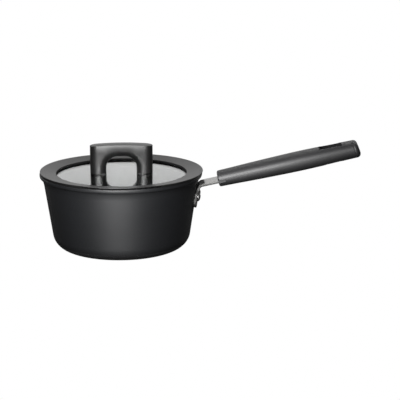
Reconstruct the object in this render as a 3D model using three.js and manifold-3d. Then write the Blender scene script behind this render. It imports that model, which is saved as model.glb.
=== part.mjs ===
// Saucepan of hard-anodised aluminium with a riveted steel handle strap, a long moulded grip
// and a domed glass lid in a moulded ring with an arch handle.
// Millimetres, +Z up. The origin is the middle of the underside, +X points along the grip,
// and the straining slit of the lid faces -Y.

import * as THREE from 'three';
import { mergeVertices } from 'three/addons/utils/BufferGeometryUtils.js';
import Module from 'manifold-3d';

const wasm = await Module();
wasm.setup();

// Driving dimensions

const clearance = 0.3;          // gap between pieces that touch on the real pan
const turnSteps = 48;           // facets round the pot and the lid

const wallTopRadius = 82.7;     // outside of the wall where the neck starts
const neckHeight = 73.5;
const wallLean = THREE.MathUtils.degToRad(8.67);
const wallThickness = 2.5;
const cornerRadius = 17.5;        // outside, between wall and base
const floorHeight = 4.6;
const baseUnderside = 0.4;      // the steel disc stands this proud of the aluminium
const lipRadius = 86.8;
const lipTop = 81.6;
const lipUnderside = 77.8;
const mouthRadius = 81.0;

const plateRadius = 48;
const plateThickness = 1.6;

const lidRadius = 87;
const ringEdgeHeight = 2.4;    // seat to outer top edge
const ringFall = 2.2;           // the top face slopes down this much towards the glass
const windowRadius = 69.2;
const windowDepth = 2.3;        // top inner edge down to the glass
const glassRadius = 74.3;
const glassThickness = 4;
const domeRadius = 2500;
const domeRings = 4;            // facets from the middle of the glass to its edge
const skirtRadius = 79.2;
const skirtDepth = 11.5;
const slitHalfAngle = THREE.MathUtils.degToRad(27.6);
const strainerNotches = 9;
const lidTurn = THREE.MathUtils.degToRad(3.4);  // the lid was put down turned a little,
const lidShift = 0.6;           // and a little towards the grip

const archLength = 66.8;
const archDepth = 17;
const archTipRadius = 7;
const archTop = 112.3;
const archCrown = 1.4;           // drop of the top edge to both ends
const archOpening = 32.2;
const archOpeningTop = 99.2;
const archEdgeRound = 7;
const archShoulder = 12;
const legSpacing = 49;          // between the two leg screws
const gasketGap = 1.2;          // leg to glass, where the gasket lies

const strapThickness = 2.5;
const strapWidth = 25;
const strapBendRadius = 5;
const plateWidth = 34;
const plateBottom = 45.4;
const plateTop = 65.5;
const tangWidth = 20;
const tangLength = 60;
const rivetHeight = 57;
const rivetSpacing = 20;
const rivetShankRadius = 2.5;
const guardSlotWidth = 15;
const guardEnd = 89.5;
const guardBottom = 66.5;
const guardProud = 1;

const gripSlope = THREE.MathUtils.degToRad(12.65);
const gripStart = new THREE.Vector3(103.8, 0, 74.4);
const gripLength = 153.6;
const gripSlant = 0.08;         // the far end leans out towards its lower edge
const capThickness = 5;
const capRound = 4.2;           // round edge of the far end
const gripHeights = [16.8, 19.1, 20.5, 18.6];
const gripWidthRatio = 1.42;
const slotMiddle = 124;
const spigotEnd = 139;
const spigotHalfWidth = 6;
const spigotHalfHeight = 4;
const slotLength = 24.6;
const slotWidth = 15.6;
const slotCorner = 6;
const gripScrewPlace = 42;
const strapBelowAxis = 1.1;

// Materials

const finish = (color, roughness, metalness) =>
  new THREE.MeshStandardMaterial({ color, roughness, metalness });
const anodised = () => finish(0x2a2b2e, 0.5, 0.6);
const steel = () => finish(0xb4b4b2, 0.3, 1);
const phenolic = () => finish(0x3a3a3c, 0.55, 0);
const rubber = () => finish(0x161616, 0.8, 0);
const glass = () => finish(0xb9bfbf, 0.05, 0);
const brass = () => finish(0xb08d4a, 0.35, 1);

// Solids: a closed geometry becomes a manifold solid and comes back after the cuts

function toSolid(source) {
  const bare = source.clone();
  bare.deleteAttribute('normal');
  bare.deleteAttribute('uv');
  const merged = mergeVertices(bare.index ? bare.toNonIndexed() : bare, 1e-4);
  const index = merged.index.array;
  const corners = [];
  for (let i = 0; i < index.length; i += 3) {
    const [a, b, c] = [index[i], index[i + 1], index[i + 2]];
    if (a !== b && b !== c && c !== a) corners.push(a, b, c);
  }
  if (signedVolume(merged.attributes.position, corners) < 0) corners.reverse();
  return new wasm.Manifold(new wasm.Mesh({
    numProp: 3,
    vertProperties: new Float32Array(merged.attributes.position.array),
    triVerts: new Uint32Array(corners),
  }));
}

function signedVolume(position, corners) {
  const [a, b, c] = [new THREE.Vector3(), new THREE.Vector3(), new THREE.Vector3()];
  let volume = 0;
  for (let i = 0; i < corners.length; i += 3) {
    a.fromBufferAttribute(position, corners[i]);
    b.fromBufferAttribute(position, corners[i + 1]);
    c.fromBufferAttribute(position, corners[i + 2]);
    volume += a.dot(b.cross(c)) / 6;
  }
  return volume;
}

function toGeometry(solid) {
  const mesh = solid.getMesh();
  const geometry = new THREE.BufferGeometry();
  geometry.setAttribute('position', new THREE.BufferAttribute(mesh.vertProperties, 3));
  geometry.setIndex(new THREE.BufferAttribute(mesh.triVerts, 1));
  geometry.computeVertexNormals();
  return geometry;
}

function named(name, solid, material) {
  const mesh = new THREE.Mesh(toGeometry(solid), material);
  mesh.name = name;
  return mesh;
}

// A profile of (radius, height) points turned about Z
function turned(points, steps = turnSteps) {
  const geometry = new THREE.LatheGeometry(points, steps);
  geometry.rotateX(Math.PI / 2);
  return toSolid(geometry);
}

const at = (radius, height) => new THREE.Vector2(radius, height);

// A closed ring section turned about Z
function turnedRing(points) {
  return turned([...points, points[0].clone()]);
}

function rod(radius, bottom, top, steps = 16) {
  return turned([at(0, bottom), at(radius, bottom), at(radius, top), at(0, top)], steps);
}

function tube(inner, outer, bottom, top, steps = 16) {
  const section = [at(inner, bottom), at(outer, bottom), at(outer, top), at(inner, top)];
  return turned([...section, section[0].clone()], steps);
}

function moved(solid, x, y, z) {
  return solid.translate([x, y, z]);
}

// A flat outline in XY raised from one height to another
function raised(outline, bottom, top, curveSegments = 10) {
  const geometry = new THREE.ExtrudeGeometry(outline, {
    depth: top - bottom,
    bevelEnabled: false,
    curveSegments,
  });
  geometry.translate(0, 0, bottom);
  return toSolid(geometry);
}

// An outline drawn in the XZ plane, spread to both sides of Y = 0
function sideways(outline, width) {
  const geometry = new THREE.ExtrudeGeometry(outline, {
    depth: width,
    bevelEnabled: false,
    curveSegments: 10,
  });
  geometry.rotateX(Math.PI / 2);
  geometry.translate(0, width / 2, 0);
  return toSolid(geometry);
}

function roundedOutline(xLow, xHigh, yLow, yHigh, radius) {
  const outline = new THREE.Shape();
  outline.moveTo(xLow + radius, yLow);
  outline.lineTo(xHigh - radius, yLow);
  outline.absarc(xHigh - radius, yLow + radius, radius, -Math.PI / 2, 0);
  outline.lineTo(xHigh, yHigh - radius);
  outline.absarc(xHigh - radius, yHigh - radius, radius, 0, Math.PI / 2);
  outline.lineTo(xLow + radius, yHigh);
  outline.absarc(xLow + radius, yHigh - radius, radius, Math.PI / 2, Math.PI);
  outline.lineTo(xLow, yLow + radius);
  outline.absarc(xLow + radius, yLow + radius, radius, Math.PI, 1.5 * Math.PI);
  return outline;
}

// Pot: wall radius at a height, measured on a line parallel to the outside of the wall

function wallRadius(height, inset = 0) {
  const outside = wallTopRadius - (neckHeight - height) * Math.tan(wallLean);
  return outside - inset / Math.cos(wallLean);
}

// Round corner between the flat of the base and the leaning wall
function addCorner(path, flat, inset, radius, upwards) {
  const touchHeight = flat + radius * (1 - Math.sin(wallLean));
  const centreRadius = wallRadius(touchHeight, inset) - radius * Math.cos(wallLean);
  const centreHeight = flat + radius;
  if (upwards) {
    path.lineTo(centreRadius, flat);
    path.absarc(centreRadius, centreHeight, radius, -Math.PI / 2, -wallLean, false);
  } else {
    path.lineTo(wallRadius(touchHeight, inset), touchHeight);
    path.absarc(centreRadius, centreHeight, radius, -wallLean, -Math.PI / 2, true);
  }
}

function rivetAxis(side) {
  const angle = Math.asin(side * rivetSpacing / 2 / wallRadius(rivetHeight));
  const normal = new THREE.Vector3(
    Math.cos(angle) * Math.cos(wallLean),
    Math.sin(angle) * Math.cos(wallLean),
    -Math.sin(wallLean),
  );
  const radius = wallRadius(rivetHeight);
  const seat = new THREE.Vector3(radius * Math.cos(angle), radius * Math.sin(angle), rivetHeight);
  const turn = new THREE.Quaternion().setFromUnitVectors(new THREE.Vector3(0, 0, 1), normal);
  return { seat, turn };
}

function rivetHole(side) {
  const { seat, turn } = rivetAxis(side);
  const geometry = new THREE.CylinderGeometry(
    rivetShankRadius + clearance,
    rivetShankRadius + clearance,
    20,
    20,
  );
  geometry.rotateX(Math.PI / 2);
  geometry.applyQuaternion(turn);
  geometry.translate(seat.x, seat.y, seat.z);
  return toSolid(geometry);
}

function panBody() {
  const recessTop = plateThickness + clearance;
  const lipRound = 1.6;
  const path = new THREE.Path();
  path.moveTo(0, recessTop);
  path.lineTo(plateRadius + clearance, recessTop);
  path.lineTo(plateRadius + clearance, baseUnderside);
  addCorner(path, baseUnderside, 0, cornerRadius, true);
  path.lineTo(wallTopRadius, neckHeight);
  path.quadraticCurveTo(wallTopRadius + 0.6, lipUnderside, lipRadius - lipRound, lipUnderside);
  path.quadraticCurveTo(lipRadius, lipUnderside, lipRadius, lipUnderside + lipRound);
  path.lineTo(lipRadius, lipTop - 0.5);
  path.lineTo(lipRadius - 0.5, lipTop);
  path.lineTo(mouthRadius + 2.4, lipTop);
  path.quadraticCurveTo(mouthRadius, lipTop, wallRadius(75, wallThickness) + 0.4, 75);
  addCorner(path, floorHeight, wallThickness, cornerRadius - wallThickness, false);
  path.lineTo(0, floorHeight);
  return turned(path.getPoints(3)).subtract(rivetHole(-1)).subtract(rivetHole(1));
}

function inductionPlate() {
  const chamfer = 0.3;
  return turned([
    at(0, 0),
    at(plateRadius - chamfer, 0),
    at(plateRadius, chamfer),
    at(plateRadius, plateThickness),
    at(0, plateThickness),
  ]);
}

// Handle strap: one bent bar, its plate rolled to the wall, its tang inside the grip

function strapMiddleLine() {
  const lean = new THREE.Vector2(Math.sin(wallLean), Math.cos(wallLean));
  const rise = new THREE.Vector2(Math.cos(gripSlope), Math.sin(gripSlope));
  const offset = clearance + strapThickness / 2;
  const foot = at(wallRadius(62.2, -offset), 62.2);
  const tangRoot = at(
    gripStart.x + strapBelowAxis * Math.sin(gripSlope),
    gripStart.z - strapBelowAxis * Math.cos(gripSlope),
  );
  const cross = lean.x * rise.y - lean.y * rise.x;
  const gap = tangRoot.clone().sub(foot);
  const up = (gap.x * rise.y - gap.y * rise.x) / cross;
  const knee = foot.clone().addScaledVector(lean, up);
  const halfTurn = (Math.PI / 2 - wallLean - gripSlope) / 2;
  const cut = strapBendRadius * Math.tan(halfTurn);
  const bendStart = knee.clone().addScaledVector(lean, -cut);
  const centre = bendStart.clone().add(at(lean.y, -lean.x).multiplyScalar(strapBendRadius));
  const line = [foot];
  const steps = 6;
  for (let i = 0; i <= steps; i += 1) {
    const angle = Math.PI - wallLean - (2 * halfTurn * i) / steps;
    line.push(centre.clone().add(
      at(Math.cos(angle), Math.sin(angle)).multiplyScalar(strapBendRadius),
    ));
  }
  return { line, tangRoot, rise };
}

// A strip of even thickness along a line of points in the XZ plane
function stripOutline(line, above, below) {
  const normals = line.map((point, i) => {
    const before = line[Math.max(i - 1, 0)];
    const after = line[Math.min(i + 1, line.length - 1)];
    const along = after.clone().sub(before).normalize();
    return at(-along.y, along.x);
  });
  const upper = line.map((point, i) => point.clone().addScaledVector(normals[i], above));
  const lower = line.map((point, i) => point.clone().addScaledVector(normals[i], -below));
  return new THREE.Shape([...upper, ...lower.reverse()]);
}

function strapPlate() {
  const near = clearance;
  const far = clearance + strapThickness;
  const fall = Math.sin(wallLean);
  const shell = turnedRing([
    at(wallRadius(plateBottom, -near), plateBottom),
    at(wallRadius(plateBottom, -near) + strapThickness, plateBottom - strapThickness * fall),
    at(wallRadius(plateTop, -far), plateTop),
    at(wallRadius(plateTop, -near), plateTop),
  ]);
  const half = plateWidth / 2;
  const outline = new THREE.Shape();
  outline.moveTo(-half + 6, plateBottom);
  outline.lineTo(half - 6, plateBottom);
  outline.absarc(half - 6, plateBottom + 6, 6, -Math.PI / 2, 0);
  outline.lineTo(half, 60);
  outline.quadraticCurveTo(half, 64, strapWidth / 2, plateTop);
  outline.lineTo(-strapWidth / 2, plateTop);
  outline.quadraticCurveTo(-half, 64, -half, 60);
  outline.lineTo(-half, plateBottom + 6);
  outline.absarc(-half + 6, plateBottom + 6, 6, Math.PI, 1.5 * Math.PI);
  const blank = new THREE.ExtrudeGeometry(outline, {
    depth: 30,
    bevelEnabled: false,
    curveSegments: 6,
  });
  blank.rotateX(Math.PI / 2);
  blank.rotateZ(Math.PI / 2);
  blank.translate(65, 0, 0);
  return shell.intersect(toSolid(blank));
}

function guardOutline(gap) {
  const half = guardSlotWidth / 2 - gap;
  const outline = new THREE.Shape();
  outline.moveTo(70, -half);
  outline.lineTo(guardEnd - gap - half, -half);
  outline.absarc(guardEnd - gap - half, 0, half, -Math.PI / 2, Math.PI / 2);
  outline.lineTo(70, half);
  return outline;
}

function handleStrap() {
  const { line, tangRoot, rise } = strapMiddleLine();
  const half = strapThickness / 2;
  const tangEnd = tangRoot.clone().addScaledVector(rise, tangLength);
  const bar = sideways(stripOutline([...line, tangRoot], half, half), strapWidth);
  const tang = sideways(
    stripOutline([tangRoot.clone().addScaledVector(rise, -6), tangEnd], half, half),
    tangWidth,
  );
  return bar
    .add(tang)
    .add(strapPlate())
    .subtract(raised(guardOutline(0), guardBottom, 90))
    .subtract(tangHole())
    .subtract(rivetHole(-1))
    .subtract(rivetHole(1));
}

// Hole in the tang for the grip's screw, square to the grip
function tangHole() {
  const hole = rod(2.3, -10, 10);
  const degrees = -THREE.MathUtils.radToDeg(gripSlope);
  return hole
    .translate([gripScrewPlace, 0, 0])
    .rotate([0, degrees, 0])
    .translate([gripStart.x, 0, gripStart.z]);
}

function heatGuard() {
  const { line, tangRoot } = strapMiddleLine();
  const half = strapThickness / 2;
  const band = sideways(
    stripOutline([...line.slice(2), tangRoot], half + guardProud, half),
    guardSlotWidth - 2 * clearance,
  );
  const outline = guardOutline(clearance);
  const wall = turned([
    at(0, 40),
    at(wallRadius(40, -clearance), 40),
    at(wallRadius(80, -clearance), 80),
    at(0, 80),
  ]);
  return band.intersect(raised(outline, guardBottom + clearance, 90)).subtract(wall);
}

function rivet(side) {
  const plateFace = 2 * clearance + strapThickness;
  const innerFace = -wallThickness - clearance;
  const profile = new THREE.Path();
  profile.moveTo(0, innerFace - 1.8);
  profile.quadraticCurveTo(3.8, innerFace - 1.8, 5, innerFace);
  profile.lineTo(rivetShankRadius, innerFace);
  profile.lineTo(rivetShankRadius, plateFace);
  profile.lineTo(4.5, plateFace);
  profile.lineTo(4.5, plateFace + 0.6);
  profile.quadraticCurveTo(3.6, plateFace + 2.4, 0, plateFace + 2.4);
  const { seat, turn } = rivetAxis(side);
  const name = side < 0 ? 'rivet_front' : 'rivet_rear';
  const mesh = named(name, turned(profile.getPoints(3), 16), steel());
  mesh.position.copy(seat);
  mesh.quaternion.copy(turn);
  return mesh;
}

// Grip, in its own frame: X along it from its front face, Z square to it upwards

const gripCurve = new THREE.SplineCurve([
  at(0, gripHeights[0]),
  at(45, gripHeights[1]),
  at(92, gripHeights[2]),
  at(gripLength, gripHeights[3]),
]);

function gripHeightAt(along) {
  return gripCurve.getPoint(THREE.MathUtils.clamp(along / gripLength, 0, 1)).y;
}

// A rounded box-like oval between two ends; both ends are given as functions of the height
function gripSlice(start, end, steps, scaleAt) {
  const geometry = new THREE.CylinderGeometry(1, 1, 1, 28, steps);
  geometry.rotateZ(-Math.PI / 2);
  const position = geometry.attributes.position;
  const squareness = 2 / 2.4;
  for (let i = 0; i < position.count; i += 1) {
    const share = position.getX(i) + 0.5;
    const y = position.getY(i);
    const z = position.getZ(i);
    const size = Math.hypot(y, z);
    const across = size > 0.5 ? Math.sign(z) * Math.abs(z / size) ** squareness : 0;
    const upward = size > 0.5 ? Math.sign(y) * Math.abs(y / size) ** squareness : 0;
    const roughHeight = upward * 9.5;
    const along = start(roughHeight) + share * (end(roughHeight) - start(roughHeight));
    const half = (gripHeightAt(along) / 2) * scaleAt(share);
    position.setXYZ(i, along, across * half * gripWidthRatio, upward * half);
  }
  return toSolid(geometry);
}

const capSplit = (height) => gripLength - capThickness - gripSlant * height;

function slotCutter() {
  const outline = roundedOutline(
    slotMiddle - slotLength / 2,
    slotMiddle + slotLength / 2,
    -slotWidth / 2,
    slotWidth / 2,
    slotCorner,
  );
  return raised(outline, -20, 20, 4);
}

function grip() {
  const pocket = raised(
    roundedOutline(-5, tangLength + 1, -tangWidth / 2 - clearance, tangWidth / 2 + clearance, 1),
    -strapBelowAxis - strapThickness / 2 - clearance,
    -strapBelowAxis + strapThickness / 2 + clearance,
    2,
  );
  const mouth = raised(
    roundedOutline(-5, 1, -strapWidth / 2 + 2, strapWidth / 2 - 2, 1),
    -strapBelowAxis - strapThickness / 2 - clearance,
    -strapBelowAxis + strapThickness / 2 + clearance,
    2,
  );
  const spigotSeat = raised(
    roundedOutline(
      spigotEnd - clearance,
      gripLength,
      -spigotHalfWidth - clearance,
      spigotHalfWidth + clearance,
      1.5,
    ),
    -spigotHalfHeight - clearance,
    spigotHalfHeight + clearance,
    3,
  );
  const body = gripSlice(() => 0, capSplit, 12, () => 1);
  return body
    .subtract(pocket)
    .subtract(mouth)
    .subtract(slotCutter())
    .subtract(spigotSeat)
    .subtract(moved(rod(4.4, -20, -5.2), gripScrewPlace, 0, 0))
    .subtract(moved(rod(2.3, -20, 5), gripScrewPlace, 0, 0));
}

function gripEndCap() {
  const start = (height) => capSplit(height) + clearance;
  const end = (height) => gripLength - gripSlant * height;
  const rounding = (share) => {
    const depth = (capThickness - clearance) * (1 - share);
    if (depth >= capRound) return 1;
    const drawnIn = capRound - Math.sqrt(capRound ** 2 - (capRound - depth) ** 2);
    return 1 - (2 * drawnIn) / gripHeightAt(gripLength);
  };
  const shell = gripSlice(start, end, 8, rounding);
  const spigot = raised(
    roundedOutline(spigotEnd, capSplit(0) + 2, -spigotHalfWidth, spigotHalfWidth, 1.2),
    -spigotHalfHeight,
    spigotHalfHeight,
    3,
  );
  return shell.add(spigot);
}

function gripScrew() {
  return moved(rod(3.6, -8.6, -6.3), gripScrewPlace, 0, 0)
    .add(moved(rod(2, -6.6, 3.5), gripScrewPlace, 0, 0))
    .subtract(moved(rod(1.4, -9, -7.4, 6), gripScrewPlace, 0, 0));
}

function gripWasher() {
  return moved(tube(2.3, 4, -6, -5.5), gripScrewPlace, 0, 0);
}

// Lid

const seat = lipTop + clearance;
const ringOuterTop = seat + ringEdgeHeight;
const ringInnerTop = ringOuterTop - ringFall;
const glassEdgeTop = ringInnerTop - windowDepth;

// Height of the domed outside of the glass at a radius
function glassTop(radius) {
  return glassEdgeTop + (windowRadius ** 2 - radius ** 2) / (2 * domeRadius);
}

// Everything under a surface parallel to the outside of the glass
function underDome(offset) {
  const profile = [at(0, 40), at(60, 40)];
  for (let i = 6; i >= 0; i -= 1) profile.push(at(i * 10, glassTop(i * 10) + offset));
  return turned(profile);
}

function lidGlass() {
  const top = [];
  const bottom = [];
  for (let i = 0; i <= domeRings; i += 1) {
    const radius = (glassRadius - 0.6) * (i / domeRings);
    top.push(at(radius, glassTop(radius)));
    bottom.push(at(radius, glassTop(radius) - glassThickness));
  }
  const edge = [
    at(glassRadius, glassTop(glassRadius) - glassThickness + 0.6),
    at(glassRadius, glassTop(glassRadius) - 0.6),
  ];
  let pane = turned([...bottom, ...edge, ...top.reverse()]);
  for (const side of [-1, 1]) {
    pane = pane.subtract(moved(rod(3.3, 60, 95), side * legSpacing / 2, 0, 0));
  }
  return pane;
}

function ringSection() {
  const under = glassThickness + clearance;
  const grooveRadius = glassRadius + clearance;
  const jawBottom = seat - skirtDepth;
  return [
    at(windowRadius, ringInnerTop - 0.3),
    at(windowRadius + 0.4, ringInnerTop),
    at(lidRadius - 0.4, ringOuterTop),
    at(lidRadius, ringOuterTop - 0.35),
    at(lidRadius, seat + 0.3),
    at(lidRadius - 0.3, seat),
    at(skirtRadius + 1.2, seat),
    at(skirtRadius, seat - 1.2),
    at(skirtRadius, jawBottom + 1.6),
    at(skirtRadius - 1.2, jawBottom + 0.4),
    at(windowRadius + 2, jawBottom),
    at(windowRadius + 0.2, jawBottom + 0.8),
    at(windowRadius + 0.2, glassTop(windowRadius + 0.2) - under),
    at(grooveRadius, glassTop(grooveRadius) - under),
    at(grooveRadius, glassTop(grooveRadius) + clearance),
    at(windowRadius, glassTop(windowRadius) + clearance),
  ];
}

function slitSector() {
  const reach = 120;
  const outline = new THREE.Shape();
  outline.moveTo(0, 0);
  outline.lineTo(-reach * Math.sin(slitHalfAngle), -reach * Math.cos(slitHalfAngle));
  outline.lineTo(reach * Math.sin(slitHalfAngle), -reach * Math.cos(slitHalfAngle));
  return raised(outline, 40, 120);
}

function lidRim() {
  const slit = turnedRing([
    at(skirtRadius - 1.5, seat - 2),
    at(lidRadius + 3, seat - 2),
    at(lidRadius + 3, seat + 1.85),
    at(lidRadius, seat + 1.7),
    at(skirtRadius + 0.8, seat + 0.3),
    at(skirtRadius - 1.5, seat - 1.4),
  ]);
  let ring = turnedRing(ringSection()).subtract(slit.intersect(slitSector()));
  const notchStep = (2 * slitHalfAngle - 0.12) / (strainerNotches - 1);
  for (let i = 0; i < strainerNotches; i += 1) {
    const angle = (i - (strainerNotches - 1) / 2) * notchStep;
    const notch = raised(roundedOutline(-2, 2, -90, 2 - skirtRadius, 0.5), 60, seat - 0.5, 2);
    ring = ring.subtract(notch.rotate([0, 0, THREE.MathUtils.radToDeg(angle)]));
  }
  return ring;
}

// Lens-shaped plan of the arch handle
function archPlan(inset) {
  const tip = archTipRadius - inset;
  const halfDepth = archDepth / 2 - inset;
  const tipCentre = archLength / 2 - archTipRadius;
  const fall = archDepth / 2 - archTipRadius;
  const sideRadius = (tipCentre ** 2 + fall ** 2) / (2 * fall) + tip;
  const lean = Math.asin(tipCentre / (sideRadius - tip));
  const outline = new THREE.Shape();
  const up = Math.PI / 2;
  outline.absarc(0, halfDepth - sideRadius, sideRadius, up - lean, up + lean);
  outline.absarc(-tipCentre, 0, tip, up + lean, 3 * up - lean);
  outline.absarc(0, sideRadius - halfDepth, sideRadius, 3 * up - lean, 3 * up + lean);
  outline.absarc(tipCentre, 0, tip, -up + lean, up - lean);
  return outline;
}

// Line round the finger opening, in the XZ plane
function openingPath() {
  const half = archOpening / 2;
  const shoulderHeight = archOpeningTop - archShoulder;
  const corner = (side, from, to) => {
    const points = [];
    for (let i = 0; i <= 7; i += 1) {
      const angle = from + ((to - from) * i) / 7;
      points.push(new THREE.Vector3(
        side * (half - archShoulder) + archShoulder * Math.cos(angle),
        0,
        shoulderHeight + archShoulder * Math.sin(angle),
      ));
    }
    return points;
  };
  const points = [
    new THREE.Vector3(half, 0, 70),
    ...corner(1, 0, Math.PI / 2),
    ...corner(-1, Math.PI / 2, Math.PI),
    new THREE.Vector3(-half, 0, 70),
  ];
  return points;
}

// The arch, as a round-edged section swept round the finger opening
function sweptArch() {
  const reach = 32;
  const halfDepth = archDepth / 2 + 0.2;
  const outline = new THREE.Shape();
  outline.moveTo(-halfDepth, reach);
  outline.lineTo(-halfDepth, archEdgeRound);
  outline.absarc(archEdgeRound - halfDepth, archEdgeRound, archEdgeRound, -Math.PI, -Math.PI / 2);
  outline.lineTo(halfDepth - archEdgeRound, 0);
  outline.absarc(halfDepth - archEdgeRound, archEdgeRound, archEdgeRound, -Math.PI / 2, 0);
  outline.lineTo(halfDepth, reach);
  const pathPoints = openingPath();
  const path = new THREE.CurvePath();
  for (let i = 1; i < pathPoints.length; i += 1) {
    path.add(new THREE.LineCurve3(pathPoints[i - 1], pathPoints[i]));
  }
  const geometry = new THREE.ExtrudeGeometry(outline, {
    steps: 32,
    curveSegments: 4,
    bevelEnabled: false,
    extrudePath: path,
  });
  return toSolid(geometry);
}

function lidHandle() {
  const plan = raised(archPlan(0), 70, archTop + 1, 8);
  const crownRadius = (archLength / 2) ** 2 / (2 * archCrown);
  const crown = moved(
    rod(crownRadius, -20, 20, 360).rotate([90, 0, 0]), 0, 0, archTop - crownRadius,
  );
  let arch = sweptArch().intersect(plan).intersect(crown).subtract(underDome(gasketGap));
  for (const side of [-1, 1]) {
    arch = arch.subtract(moved(rod(3.7, 60, 94), side * legSpacing / 2, 0, 0));
  }
  return arch;
}

function lidGasket(side) {
  const middle = side * legSpacing / 2;
  const pad = raised(roundedOutline(middle - 6.6, middle + 6.6, -9, 9, 1), 70, 90, 3);
  return raised(archPlan(0.5), 70, 90, 8)
    .intersect(pad)
    .intersect(underDome(gasketGap - clearance))
    .subtract(underDome(clearance))
    .subtract(moved(rod(3.7, 60, 95), middle, 0, 0));
}

const washerTop = glassTop(legSpacing / 2 + 6) - glassThickness - clearance;
const washerThickness = 1.2;
const screwSeat = washerTop - washerThickness - clearance;

function lidWasher(side) {
  const ring = tube(2.5, 6, washerTop - washerThickness, washerTop);
  return moved(ring, side * legSpacing / 2, 0, 0);
}

function lidScrew(side) {
  const head = new THREE.Path();
  head.moveTo(0, screwSeat - 2.6);
  head.quadraticCurveTo(4, screwSeat - 2.6, 4.5, screwSeat - 0.6);
  head.lineTo(4.5, screwSeat);
  head.lineTo(2, screwSeat);
  head.lineTo(2, 91.5);
  head.lineTo(1.4, 92.2);
  head.lineTo(0, 92.2);
  const slotCut = raised(roundedOutline(-6, 6, -0.6, 0.6, 0.2), screwSeat - 3, screwSeat - 1.6, 2);
  return moved(turned(head.getPoints(3), 16).subtract(slotCut), side * legSpacing / 2, 0, 0);
}

function lidInsert(side) {
  const bottom = glassTop(legSpacing / 2) + gasketGap + 0.8;
  return moved(tube(2.3, 3.4, bottom, 93), side * legSpacing / 2, 0, 0);
}

// Assembly

function panGroup() {
  const group = new THREE.Group();
  group.add(named('pan_body', panBody(), anodised()));
  group.add(named('induction_plate', inductionPlate(), steel()));
  group.add(named('handle_strap', handleStrap(), steel()));
  group.add(named('heat_guard', heatGuard(), rubber()));
  group.add(rivet(-1));
  group.add(rivet(1));
  return group;
}

function gripGroup() {
  const group = new THREE.Group();
  group.add(named('grip', grip(), phenolic()));
  group.add(named('grip_end_cap', gripEndCap(), phenolic()));
  group.add(named('grip_screw', gripScrew(), steel()));
  group.add(named('grip_washer', gripWasher(), steel()));
  group.position.copy(gripStart);
  group.rotation.y = -gripSlope;
  return group;
}

function lidGroup() {
  const group = new THREE.Group();
  group.add(named('lid_glass', lidGlass(), glass()));
  group.add(named('lid_rim', lidRim(), phenolic()));
  group.add(named('lid_handle', lidHandle(), phenolic()));
  for (const side of [-1, 1]) {
    const label = side < 0 ? 'left' : 'right';
    group.add(named(`lid_gasket_${label}`, lidGasket(side), rubber()));
    group.add(named(`lid_screw_${label}`, lidScrew(side), steel()));
    group.add(named(`lid_washer_${label}`, lidWasher(side), steel()));
    group.add(named(`lid_insert_${label}`, lidInsert(side), brass()));
  }
  group.rotation.z = lidTurn;
  group.position.x = lidShift;
  return group;
}

const saucepan = new THREE.Group();
saucepan.add(panGroup(), gripGroup(), lidGroup());

export default saucepan;
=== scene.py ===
import math

import bmesh
import bpy
from mathutils import Matrix, Vector


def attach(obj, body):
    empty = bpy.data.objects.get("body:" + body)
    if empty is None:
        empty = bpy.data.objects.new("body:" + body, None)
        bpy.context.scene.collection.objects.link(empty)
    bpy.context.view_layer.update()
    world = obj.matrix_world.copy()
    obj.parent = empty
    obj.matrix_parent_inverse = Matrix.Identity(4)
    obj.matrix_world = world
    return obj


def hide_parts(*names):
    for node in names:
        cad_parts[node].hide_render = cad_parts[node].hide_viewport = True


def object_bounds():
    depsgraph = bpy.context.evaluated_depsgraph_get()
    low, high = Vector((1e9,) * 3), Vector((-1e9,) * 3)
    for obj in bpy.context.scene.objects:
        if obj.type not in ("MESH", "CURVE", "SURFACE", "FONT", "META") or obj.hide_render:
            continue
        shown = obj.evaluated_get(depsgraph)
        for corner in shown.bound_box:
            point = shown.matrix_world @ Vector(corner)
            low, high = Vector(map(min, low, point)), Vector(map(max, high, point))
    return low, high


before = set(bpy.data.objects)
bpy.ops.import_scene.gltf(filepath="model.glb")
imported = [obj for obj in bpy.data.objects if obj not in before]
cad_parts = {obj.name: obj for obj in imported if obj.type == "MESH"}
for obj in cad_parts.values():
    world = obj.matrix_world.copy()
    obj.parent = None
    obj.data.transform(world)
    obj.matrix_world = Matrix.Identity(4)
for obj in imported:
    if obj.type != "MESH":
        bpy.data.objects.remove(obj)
cad_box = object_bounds()

# Camera and studio. The saucepan stands on a white sweep that is brightest behind it, with a small
# near softbox to the left of the camera and a long one high up behind. The camera is far away and a
# little above. Camera rays see plain white, and all other rays see how the room is really lit.

MM = 0.001
camera_distance = 1.5
camera_elevation = math.radians(13.57)
camera_lens, sensor_width = 125.55, 36.0
camera_aim = (cad_box[0] + cad_box[1]) / 2 + Vector((0.14, 0, -7.19)) * MM

camera = bpy.data.objects.new("Camera", bpy.data.cameras.new("Camera"))
bpy.context.scene.collection.objects.link(camera)
camera.data.lens = camera_lens
camera.data.sensor_width = sensor_width
camera.data.clip_end = 100.0
looking_back = Vector((0, -math.cos(camera_elevation), math.sin(camera_elevation)))
camera.location = camera_aim + looking_back * camera_distance
camera.rotation_mode = "QUATERNION"
camera.rotation_quaternion = looking_back.to_track_quat("Z", "Y")
bpy.context.scene.camera = camera
bpy.context.scene.view_settings.view_transform = "Standard"


class Amount:
    """A number that varies over a surface; arithmetic on it adds Math nodes to its finish."""

    def __init__(self, finish, socket):
        self.finish, self.socket = finish, socket

    def math(self, operation, *terms):
        settings = {"operation": operation}
        made = self.finish.node("ShaderNodeMath", settings, dict(enumerate(terms)))
        return Amount(self.finish, made.outputs[0])

    def __add__(self, other):
        return self.math("ADD", self, other)

    def __sub__(self, other):
        return self.math("SUBTRACT", self, other)

    def __rsub__(self, other):
        return self.math("SUBTRACT", other, self)

    def __mul__(self, other):
        return self.math("MULTIPLY", self, other)

    def __pow__(self, other):
        return self.math("POWER", self, other)

    __radd__, __rmul__ = __add__, __mul__


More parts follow.
